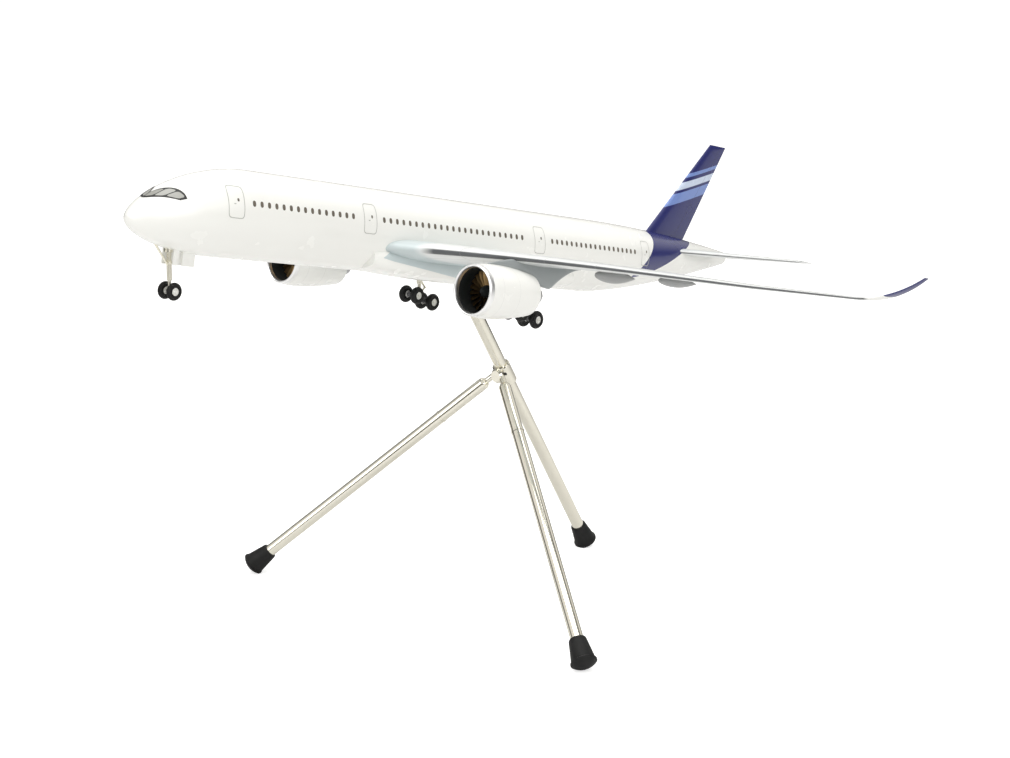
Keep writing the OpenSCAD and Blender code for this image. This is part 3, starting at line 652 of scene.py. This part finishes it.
piece("cockpit_surround", *glazing_patch(-1, 1, 0, 1, 0.10, 90, 12), glazing_frame, "airframe", "glazing_dark",
      replaces=("cockpit_glazing",))
panes = []
for q0, q1, low, high in ((0.02, 0.33, 0.16, 0.84), (0.37, 0.62, 0.14, 0.86), (0.66, 0.93, 0.16, 0.84)):
    panes.append(glazing_patch(q0, q1, low, high, 0.17, corner=0.12))
    panes.append(glazing_patch(-q1, -q0, low, high, 0.17, corner=0.12))
piece("cockpit_panes", *merge(*panes), glazing_pane, "airframe", "glazing_dark")

# ---------------------------------------------------------------- belly fairing
FAIRING_FIRST = 192.0
FAIRING_LAST = 424.0


def fairing_ring(t, steps=96):
    bulge = math.sin(math.pi * t ** 0.9) ** 0.55
    w = HALF_W * (0.86 + 0.27 * bulge)
    low = -HALF_H * (0.86 + 0.25 * bulge)
    top = -HALF_H * 0.16 - 8 * (1 - bulge)
    middle = (top + low) / 2
    ring = []
    for i in range(steps):
        c, d = math.cos(2 * math.pi * i / steps), math.sin(2 * math.pi * i / steps)
        ring.append((FAIRING_FIRST + (FAIRING_LAST - FAIRING_FIRST) * t, math.copysign(abs(c) ** 0.7, c) * w,
                     middle + math.copysign(abs(d) ** 0.75, d) * (top - low) / 2))
    return ring


fairing = piece("belly_fairing_skin", *loft([fairing_ring(0.012 + 0.976 * i / 72) for i in range(73)]),
                white, "airframe", "gloss_white", replaces=("belly_fairing",))


def fairing_y(s, z):
    """Half width of the belly fairing at a station and height, or 0 outside it."""
    t = (s - FAIRING_FIRST) / (FAIRING_LAST - FAIRING_FIRST)
    if not 0.012 < t < 0.988:
        return 0.0
    bulge = math.sin(math.pi * t ** 0.9) ** 0.55
    w = HALF_W * (0.86 + 0.27 * bulge)
    low = -HALF_H * (0.86 + 0.25 * bulge)
    top = -HALF_H * 0.16 - 8 * (1 - bulge)
    d = abs(z - (top + low) / 2) / ((top - low) / 2)
    return w * math.sqrt(max(0.0, 1 - d ** (2 / 0.75))) ** 0.7 if d < 1 else 0.0


def root_top(s):
    return -7.0 - 11.5 * (clamp((232 - s) / 30.4)) ** 2


def root_bottom(s):
    return -18.5 - (s - 201.6) * 0.115 - 0.6 * clamp((s - 201.6) / 10)


for side_name, side in SIDES:
    points = []
    across, along = 20, 60
    for i in range(along + 1):
        s = 201.7 + (345 - 201.7) * (i / along) ** 1.3
        for j in range(across + 1):
            z = root_bottom(s) + (root_top(s) - root_bottom(s)) * j / across
            points.append((s, side * (max(skin_at(s, z)[1], fairing_y(s, z)) + 0.12), z))
    piece("wing_root_patch_" + side_name, points, grid_faces(along + 1, across + 1, False), root_blue,
          "airframe", "wing_grey")

# ---------------------------------------------------------------- wings and tail
FOIL = 30


def foil_t(x):
    return 5 * (0.2969 * math.sqrt(x) - 0.126 * x - 0.3516 * x * x + 0.2843 * x ** 3 - 0.1036 * x ** 4)


def foil(low=0.8, high=1.1):
    """Section outline: lower surface forward from the trailing edge, then the upper surface."""
    outline = [((1 + math.cos(math.pi * i / FOIL)) / 2, -1) for i in range(FOIL + 1)]
    outline += [((1 - math.cos(math.pi * i / FOIL)) / 2, 1) for i in range(1, FOIL + 1)]
    return [(x, (high * foil_t(x) + 0.006) if face > 0 else (-low * foil_t(x) - 0.006), face)
            for x, face in outline]


def section(s, y, z, chord, thick, twist=0.0, cant=0.0, span=None):
    """Ring of points and their plan values for one wing section."""
    ring, plan = [], []
    for x, height, face in foil():
        lift = thick * height * chord
        ring.append((s + x * chord * math.cos(twist), y - lift * math.sin(cant),
                     z - x * chord * math.sin(twist) + lift * math.cos(cant)))
        plan.append((x, y if span is None else span, face * x * chord))
    return ring, plan


def wing_le(y):
    return WING_LE_ROOT + (y - HALF_W) * SWEEP


def wing_te(y):
    outer = (wing_le(WINGLET_Y) + TIP_CHORD - WING_LE_ROOT - ROOT_CHORD - (KINK_Y - HALF_W) * 0.12)
    return (WING_LE_ROOT + ROOT_CHORD + (min(y, KINK_Y) - HALF_W) * 0.12
            + (max(y, KINK_Y) - KINK_Y) * outer / (WINGLET_Y - KINK_Y))


def wing_z(y):
    return (WING_ROOT_Z + 4.7 * (1 - (1 - clamp((y - HALF_W) / 140)) ** 2) + 1.3 * clamp((y - 240) / 60))


def wing_section(y):
    out = clamp((y - HALF_W) / 150)
    return section(wing_le(y), y, wing_z(y), wing_te(y) - wing_le(y), 0.125 - 0.04 * out,
                   math.radians(2.6 * (1 - out)))


def winglet_section(t):
    turn = WINGLET_TURN * t
    return section(wing_le(WINGLET_Y) + 56 * t ** 1.25,
                   WINGLET_Y + 23.75 * math.sin(turn) / math.sin(WINGLET_TURN),
                   wing_z(WINGLET_Y) + WINGLET_RISE * (1 - math.cos(turn)) / (1 - math.cos(WINGLET_TURN)),
                   TIP_CHORD - 19.5 * t ** 0.9, 0.085 + 0.03 * t, 0, turn, WINGLET_Y + 60 * t)


def tail_section(y, thick=0.1):
    chord = 63 - 37 * clamp((y - 15) / (TAIL_HALF_SPAN - 15))
    return section(571 + (y - 15) * 0.69, y, TAIL_Z + 0.05 * (y - 15), chord, thick)


def fin_section(z, thick=1.0):
    le, te = 545.8 + (z - 29.2) * 0.923, 603.5 + (z - 29.2) * 0.535
    ring = [(le + x * (te - le), height * 0.095 * (te - le) * thick, z) for x, height, face in foil(0.95, 0.95)]
    return ring, [(x, z, face * x * (te - le)) for x, height, face in foil()]


def winged(name, sections, material, slot, mirror=False, replaces=()):
    points, faces = loft([ring for ring, plan in sections])
    data = [value for ring, plan in sections for value in plan]
    return piece(name, points, faces, material, "airframe", slot, mirror=mirror, replaces=replaces, sharp=50,
                 data=data)


FLAPS = ((0.72, 31, 96), (0.70, 98, 196), (0.72, 202, 262), (0.60, 34, 190))
CUTS = ((97, 0.6, 1.0), (145, 0.6, 1.0), (197, 0.6, 1.0), (232, 0.72, 1.0), (262, 0.72, 1.0),
        (72, 0.0, 0.12), (122, 0.0, 0.12), (152, 0.0, 0.12), (182, 0.0, 0.12), (212, 0.0, 0.12),
        (242, 0.0, 0.12), (272, 0.0, 0.12))
wing_surface = wing_paint("wing_lacquer", FLAPS + ((0.12, 44, 290),), CUTS, 1.5, 52, 47, WINGLET_Y + 26).material
tail_surface = wing_paint("tailplane_lacquer", ((0.68, 18, 101),), ((100, 0.68, 1.0),), 0.8).material
fin_surface = fin_paint().material

wing_rows = [HALF_W - 8 + (KINK_Y - HALF_W + 8) * i / 24 for i in range(24)]
wing_rows += [KINK_Y + (WINGLET_Y - KINK_Y) * i / 40 for i in range(41)]
tail_rows = [7 + (TAIL_HALF_SPAN - 11) * i / 28 for i in range(29)]
for side_name, side in SIDES:
    rings = [wing_section(y) for y in wing_rows] + [winglet_section(i / 22) for i in range(1, 23)]
    winged("wing_skin_" + side_name, rings, wing_surface, "wing_grey", side < 0, ("wing_" + side_name,))
    rings = [tail_section(y) for y in tail_rows]
    rings += [tail_section(TAIL_HALF_SPAN - 4 + 4 * t, 0.1 - 0.05 * t ** 3) for t in (0.4, 0.7, 0.9, 1.0)]
    winged("tailplane_skin_" + side_name, rings, tail_surface, "wing_grey", side < 0,
           ("tailplane_" + side_name,))
rings = [fin_section(15 + (FIN_TIP_Z - 19) * i / 40) for i in range(41)]
rings += [fin_section(FIN_TIP_Z - 4 + 4 * t, 1 - 0.5 * t ** 2) for t in (0.3, 0.6, 0.85, 1.0)]
winged("fin_skin", rings, fin_surface, "gloss_navy", replaces=("fin",))

# Flap track pods: smooth bodies of revolution under the trailing edge
PODS = ((137, 49, 5), (180, 48, 4))
POD_SHAPE = ((0, 0), (0.35, 0.12), (0.8, 0.32), (1, 0.52), (0.9, 0.74), (0.5, 0.93), (0, 1))
pod_grey = lacquer("pod_grey", (0.33, 0.335, 0.335), 0.03, 0.34, 0.15).material


def smooth_profile(points, steps):
    """Catmull-Rom curve through profile points."""
    curve = []
    for i in range(len(points) - 1):
        p0, p1 = points[max(i - 1, 0)], points[i]
        p2, p3 = points[i + 1], points[min(i + 2, len(points) - 1)]
        for k in range(steps):
            t = k / steps
            curve.append(tuple(0.5 * (2 * b + (c - a) * t + (2 * a - 5 * b + 4 * c - d) * t * t
                                      + (3 * b - a - 3 * c + d) * t ** 3)
                               for a, b, c, d in zip(p0, p1, p2, p3)))
    return curve + [tuple(points[-1])]


for side_name, side in SIDES:
    parts = []
    for y, length, radius in PODS:
        out = clamp((y - HALF_W) / 150)
        drop = (wing_te(y) - wing_le(y)) * math.sin(math.radians(2.6 * (1 - out)))
        centre = (wing_te(y) + 8 - length, y, wing_z(y) - drop - 0.95 * radius)
        shape = [(max(0.001, r) * radius, (1 - along) * length) for r, along in smooth_profile(POD_SHAPE, 8)]
        parts.append(lathe(shape, 40, centre, closed=False))
    piece("flap_pods_" + side_name, *merge(*parts), pod_grey, "airframe", "wing_grey", side < 0,
          replaces=("flap_fairings_" + side_name,))

# ---------------------------------------------------------------- engines
cowl = cowl_paint().material


def cowl_outer(steps=26):
    shape = [(NACELLE_R - 1.0, LIP_LEN)]
    shape += [(NACELLE_R - (1 - t / 10) ** 2 * 0.9, LIP_LEN + 1.3 * t) for t in range(11)]
    tail = NACELLE_LEN - LIP_LEN - 13
    shape += [(NACELLE_R - 4 * (t / steps) ** 1.8, LIP_LEN + 13 + tail * t / steps) for t in range(1, steps + 1)]
    return shape


def fan_blades(centre):
    """Swept, twisted blades with a round nose and a thin tail."""
    parts = []
    root, tip, span_steps = 4.0, DUCT_R - 0.5, 10
    for blade in range(FAN_BLADES):
        turn = 2 * math.pi * blade / FAN_BLADES
        rings = []
        for j in range(span_steps + 1):
            t = j / span_steps
            radius = root + (tip - root) * t
            pitch = math.radians(28 + 34 * t)
            half = 1.75 + 0.55 * math.sin(math.pi * t)
            sweep = 0.5 * math.sin(math.pi * t) - 0.5 * t
            ring = []
            for k in range(12):
                a = 2 * math.pi * k / 12
                u = half * math.cos(a)
                v = (0.22 - 0.10 * t) * math.sin(a) + 0.22 * (1 - (u / half) ** 2)
                along = u * math.cos(pitch) - v * math.sin(pitch) + 2.2 + sweep
                around = u * math.sin(pitch) + v * math.cos(pitch)
                angle = turn + around / radius
                ring.append((centre[0] + FAN_S + along, centre[1] + radius * math.sin(angle),
                             centre[2] + radius * math.cos(angle)))
            rings.append(ring)
        parts.append(loft(rings))
    return merge(*parts)


for side_name, side in SIDES:
    mirror = side < 0
    centre = (ENGINE_S, ENGINE_Y, ENGINE_Z)
    outer = cowl_outer()
    inner = [(NACELLE_R - 4.9, NACELLE_LEN), (NACELLE_R - 4.7, NACELLE_LEN - 6), (NACELLE_R - 4.4, NACELLE_LEN - 12),
             (DUCT_R + 0.3, NACELLE_LEN - 24), (DUCT_R + 0.3, LIP_LEN)]
    points, faces = lathe(outer + inner, 144, centre)
    data = [(p[0] - ENGINE_S, 0, 0) for p in points]
    piece("nacelle_skin_" + side_name, points, faces, cowl, "airframe", "gloss_white", mirror,
          replaces=("nacelle_" + side_name,), sharp=35, data=data)
    liner = [(DUCT_R + 0.2, LIP_LEN + 0.1), (DUCT_R - 0.3, LIP_LEN + 0.6), (DUCT_R - 0.05, 9), (DUCT_R - 0.02, FAN_S + 8.9),
             (DUCT_R + 0.2, FAN_S + 8.9)]
    piece("intake_liner_" + side_name, *lathe(liner, 144, centre), black, "airframe", "core_metal", mirror)
    lip_outer, lip_inner = NACELLE_R - 1.0, DUCT_R - 0.5
    middle, half = (lip_outer + lip_inner) / 2, (lip_outer - lip_inner) / 2
    lip = [(lip_inner, LIP_LEN)]
    lip += [(middle - half * math.cos(math.pi * i / 20), 3 - 3 * math.sin(math.pi * i / 20)) for i in range(21)]
    lip += [(lip_outer, LIP_LEN)]
    piece("intake_ring_" + side_name, *lathe(lip, 144, centre), polished, "airframe", "lip_polished", mirror,
          replaces=("intake_lip_" + side_name,))
    spinner = smooth_profile(((0.001, FAN_S - 5.5), (1.6, FAN_S - 4.6), (3.2, FAN_S - 2.4), (4.3, FAN_S),
                              (4.35, FAN_S + 2.2), (4.3, FAN_S + 4.5)), 6)
    spinner += [(1.45, FAN_S + 4.5), (1.45, FAN_S + 15.5), (0.001, FAN_S + 15.5)]
    piece("fan_blades_" + side_name, *fan_blades(centre), bronze, "fan_rotor_" + side_name, "fan_bronze", mirror,
          replaces=("fan_" + side_name,))
    piece("fan_spinner_" + side_name, *lathe(spinner, 64, centre, closed=False), black,
          "fan_rotor_" + side_name, "fan_bronze", mirror)

# Pylons: a strut from the crown of the cowl to the wing, then a keel under the wing that fades aft
PYLON_FIRST = ENGINE_S + 14
PYLON_DEEP = ENGINE_S + NACELLE_LEN + 26
PYLON_LAST = wing_te(ENGINE_Y) - 4


def cowl_top(s):
    back = clamp((s - ENGINE_S - LIP_LEN - 13) / (NACELLE_LEN - LIP_LEN - 13))
    return ENGINE_Z + NACELLE_R - 4 * back ** 1.8


def wing_chord_z(s):
    """Height of the wing's chord line over an engine."""
    out = clamp((ENGINE_Y - HALF_W) / 150)
    return wing_z(ENGINE_Y) - (s - wing_le(ENGINE_Y)) * math.sin(math.radians(2.6 * (1 - out)))


def pylon_low(s):
    if s < ENGINE_S + NACELLE_LEN:
        return cowl_top(s) - 1.0
    keel = ENGINE_Z + 5.5
    if s < PYLON_DEEP:
        t = (s - ENGINE_S - NACELLE_LEN) / (PYLON_DEEP - ENGINE_S - NACELLE_LEN)
        return ENGINE_Z + NACELLE_R - 5.0 + (keel - ENGINE_Z - NACELLE_R + 5.0) * math.sin(t * math.pi / 2)
    t = (s - PYLON_DEEP) / (PYLON_LAST - PYLON_DEEP)
    return keel + (wing_chord_z(PYLON_LAST) - 1.6 - keel) * (1 - (1 - t) ** 1.7)


def pylon_high(s):
    rise = clamp((s - PYLON_FIRST) / (wing_le(ENGINE_Y) + 9 - PYLON_FIRST))
    bridge = ENGINE_Z + NACELLE_R + 0.4 + (wing_z(ENGINE_Y) + 0.6 - ENGINE_Z - NACELLE_R - 0.4) * rise ** 0.8
    return bridge if s < wing_le(ENGINE_Y) + 9 else wing_chord_z(s)


for side_name, side in SIDES:
    rings = []
    for i in range(61):
        t = i / 60
        s = PYLON_FIRST + (PYLON_LAST - PYLON_FIRST) * t
        low, half = pylon_low(s), 0.35 + 2.2 * math.sin(math.pi * (0.04 + 0.92 * t)) ** 0.7
        high = max(pylon_high(s), low + 0.5)
        ring = []
        for k in range(24):
            c, d = math.cos(math.pi * k / 12), math.sin(math.pi * k / 12)
            ring.append((s, ENGINE_Y + half * math.copysign(abs(c) ** 0.6, c),
                         (low + high) / 2 + (high - low) / 2 * math.copysign(abs(d) ** 0.6, d)))
        rings.append(ring)
    piece("pylon_skin_" + side_name, *loft(rings), pylon_grey, "airframe", "wing_grey", side < 0,
          replaces=("pylon_" + side_name,))

# ---------------------------------------------------------------- landing gear details
def disc_ring(centre, radius, half_width, steps, bolts, bolt_radius, side):
    """Wheel nuts in a circle round an axle along Y."""
    parts = []
    s0, y0, z0 = centre
    for i in range(bolts):
        a = 2 * math.pi * i / bolts
        c = (s0 + radius * math.cos(a), z0 + radius * math.sin(a))
        outer = [(c[0] + bolt_radius * math.cos(k * math.pi / 3), y0, c[1] + bolt_radius * math.sin(k * math.pi / 3))
                 for k in range(6)]
        top = [(p, y0 + side * half_width, q) for p, y, q in outer]
        parts.append(loft([outer, top]))
    return merge(*parts)


for side_name, side in SIDES:
    for end, x in (("front", 1), ("rear", -1)):
        axle = (MAIN_GEAR_S - x * BOGIE_HALF * math.cos(BOGIE_TILT), MAIN_GEAR_Y,
                MAIN_GEAR_Z + x * BOGIE_HALF * math.sin(BOGIE_TILT))
        parts = []
        for out in (-1, 1):
            face = (axle[0], axle[1] + out * (MAIN_WHEEL_Y + 1.35), axle[2])
            parts.append(disc_ring(face, 1.95, 0.35, 6, 8, 0.22, out))
            cap = [(0.001, 0.9), (0.5, 0.85), (0.75, 0.5), (0.8, -0.1)]
            points = []
            for radius, along in cap:
                for k in range(20):
                    a = 2 * math.pi * k / 20
                    points.append((face[0] + radius * math.cos(a), face[1] + out * along,
                                   face[2] + radius * math.sin(a)))
            parts.append((points, grid_faces(len(cap), 20, True)))
        piece("wheel_nuts_%s_%s" % (end, side_name), *merge(*parts), gear_metal,
              "%s_wheel_pair_%s" % (end, side_name), "gear_nickel", side < 0)
    # torque links behind the leg, with a pin across their knee
    knee = (MAIN_GEAR_S + 5.0, MAIN_GEAR_Y, MAIN_GEAR_Z + 9.0)
    links = []
    for out in (-0.9, 0.9):
        links.append(tube([(MAIN_GEAR_S - 0.4, MAIN_GEAR_Y + out, MAIN_GEAR_Z + 3.4),
                           (knee[0], MAIN_GEAR_Y + out * 0.4, knee[2])], 0.5))
        links.append(tube([(knee[0], MAIN_GEAR_Y + out * 0.4, knee[2]),
                           (MAIN_GEAR_S - 1.6, MAIN_GEAR_Y + out, MAIN_GEAR_Z + 15.0)], 0.5))
    links.append(tube([(knee[0], MAIN_GEAR_Y - 1.0, knee[2]), (knee[0], MAIN_GEAR_Y + 1.0, knee[2])], 0.7))
    piece("torque_links_" + side_name, *merge(*links), gear_metal, "airframe", "gear_nickel", side < 0)

parts = []
for out in (-1, 1):
    face = (NOSE_GEAR_S, out * (NOSE_WHEEL_Y + 0.95), NOSE_GEAR_Z)
    parts.append(disc_ring(face, 1.6, 0.3, 6, 6, 0.2, out))
piece("nose_wheel_nuts", *merge(*parts), gear_metal, "nose_wheel_pair", "gear_nickel")
lamp = [(0.001, -0.9), (0.9, -0.8), (1.3, -0.3), (1.3, 1.2), (0.6, 1.8), (0.001, 1.9)]
piece("taxi_lamps", *merge(*[lathe(lamp, 28, (NOSE_GEAR_S - 4.2, y, -36.5), closed=False) for y in (-1.9, 1.9)]),
      gear_metal, "airframe", "gear_nickel")

# ---------------------------------------------------------------- finishes of the CAD nodes that stay
FINISH = {
    "main_tube": nickel, "tube_plug": nickel, "hub_collar": nickel, "stub_port": nickel, "stub_starboard": nickel,
    "leg_tube_port": nickel, "leg_tube_starboard": nickel, "hub_screws": screws,
    "foot_rear": feet, "foot_port": feet, "foot_starboard": feet,
    "alignment_pins": steel, "nose_ballast": cast, "stand_socket": cast, "wing_spar": steel, "tail_spar": steel,
    "engine_core_port": core, "engine_core_starboard": core,
    "nose_leg": gear_metal, "nose_brace": gear_metal, "nose_doors": white, "nose_wheels": hub_white,
    "nose_tyres": tyres,
}
for side_name, side in SIDES:
    FINISH["main_leg_" + side_name] = gear_metal
    FINISH["main_stays_" + side_name] = gear_metal
    FINISH["bogie_" + side_name] = gear_grey
    for end in ("front", "rear"):
        FINISH["%s_wheels_%s" % (end, side_name)] = hub_white
        FINISH["%s_tyres_%s" % (end, side_name)] = tyres
for name, finish in FINISH.items():
    for material_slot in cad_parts[name].material_slots:
        material_slot.material = finish

# ---------------------------------------------------------------- studio
floor_mesh = bpy.data.meshes.new("studio_floor")
reach = 6.0
floor_mesh.from_pydata([(-reach, -reach, 0), (reach, -reach, 0), (reach, reach, 0), (-reach, reach, 0)], [],
                       [(0, 1, 2, 3)])
floor = bpy.data.objects.new("studio_floor", floor_mesh)
floor.location.z = cad_box[0][2] - 0.0002
scene.collection.objects.link(floor)
floor_paint = Nodes("studio_white", (0.80, 0.80, 0.80), 0.8)
floor_paint.set("Emission Color", (1, 1, 1, 1))
seen = floor_paint.node("ShaderNodeLightPath").outputs["Is Camera Ray"]
floor_paint.link(floor_paint.spread(seen, 0.0, 0.62), floor_paint.shader.inputs["Emission Strength"])
floor_mesh.materials.append(floor_paint.material)


def area_light(name, place, aim, size, power, colour=(1, 1, 1)):
    data = bpy.data.lights.new(name, "AREA")
    data.shape = "RECTANGLE"
    data.size, data.size_y = size
    data.energy = power
    data.color = colour
    obj = bpy.data.objects.new(name, data)
    obj.location = place
    obj.rotation_euler = (Vector(aim) - Vector(place)).to_track_quat("-Z", "Y").to_euler()
    scene.collection.objects.link(obj)


area_light("overhead_box", (0.2, 0.1, 1.7), (0, 0, 0.25), (1.8, 1.4), 17)
area_light("side_box", (0.5, 1.9, 0.9), (0, 0, 0.25), (1.2, 1.2), 9)
area_light("front_box", (2.0, -0.4, 0.9), (0, 0, 0.25), (1.0, 1.2), 8)

# The surround that the metal reflects: pale overhead, darker at eye level, with two dark curtains
world = bpy.data.worlds.new("studio_surround")
world.use_nodes = True
scene.world = world


class Surround(Nodes):
    def __init__(self, tree):
        self.tree = tree

    def curtain(self, x, y, bearing, wide):
        """1 towards a compass bearing, in degrees, and 0 beyond wide degrees from it."""
        aim = math.radians(bearing)
        towards = self.math("ADD", self.math("MULTIPLY", x, math.cos(aim)),
                            self.math("MULTIPLY", y, math.sin(aim)))
        flat = self.math("SQRT", self.math("ADD", self.math("MULTIPLY", x, x), self.math("MULTIPLY", y, y)))
        edge = math.cos(math.radians(wide))
        return self.above(self.math("DIVIDE", towards, flat), edge, (1 - edge) * 0.5)


sky = Surround(world.node_tree)
split = sky.node("ShaderNodeSeparateXYZ")
sky.link(sky.node("ShaderNodeTexCoord").outputs["Generated"], split.inputs[0])
glow = sky.math("ADD", 0.07, sky.math("MULTIPLY", sky.above(split.outputs[2], 0.24, 0.12), 0.80))
for bearing, wide, depth in ((140, 15, 0.9), (-88, 24, 0.6)):
    shade = sky.math("MULTIPLY", sky.curtain(split.outputs[0], split.outputs[1], bearing, wide), depth)
    glow = sky.math("MULTIPLY", glow, sky.math("SUBTRACT", 1.0, shade))
background = world.node_tree.nodes["Background"]
background.inputs["Color"].default_value = (1.0, 0.985, 0.95, 1)
sky.link(glow, background.inputs["Strength"])
backdrop = sky.node("ShaderNodeBackground")
backdrop.inputs["Color"].default_value = (1, 1, 1, 1)
backdrop.inputs["Strength"].default_value = 1.05
choose = sky.node("ShaderNodeMixShader")
sky.link(sky.node("ShaderNodeLightPath").outputs["Is Camera Ray"], choose.inputs[0])
sky.link(background.outputs[0], choose.inputs[1])
sky.link(backdrop.outputs[0], choose.inputs[2])
sky.link(choose.outputs[0], world.node_tree.nodes["World Output"].inputs["Surface"])
scene.view_settings.view_transform = "Standard"
scene.view_settings.look = "None"

camera_data = bpy.data.cameras.new("photo_camera")
camera_data.lens = 58.15
camera_data.sensor_width = 36
camera_data.clip_end = 50
camera = bpy.data.objects.new("photo_camera", camera_data)
view = Vector((-0.7191, -0.658, -0.2235)).normalized()
right = view.cross(Vector((0, 0, 1))).normalized()
upright = right.cross(view)
camera.matrix_world = Matrix.Translation((0.933, 0.8786, 0.4674)) @ Matrix(
    (right, upright, -view)).transposed().to_4x4()
scene.collection.objects.link(camera)
scene.camera = camera
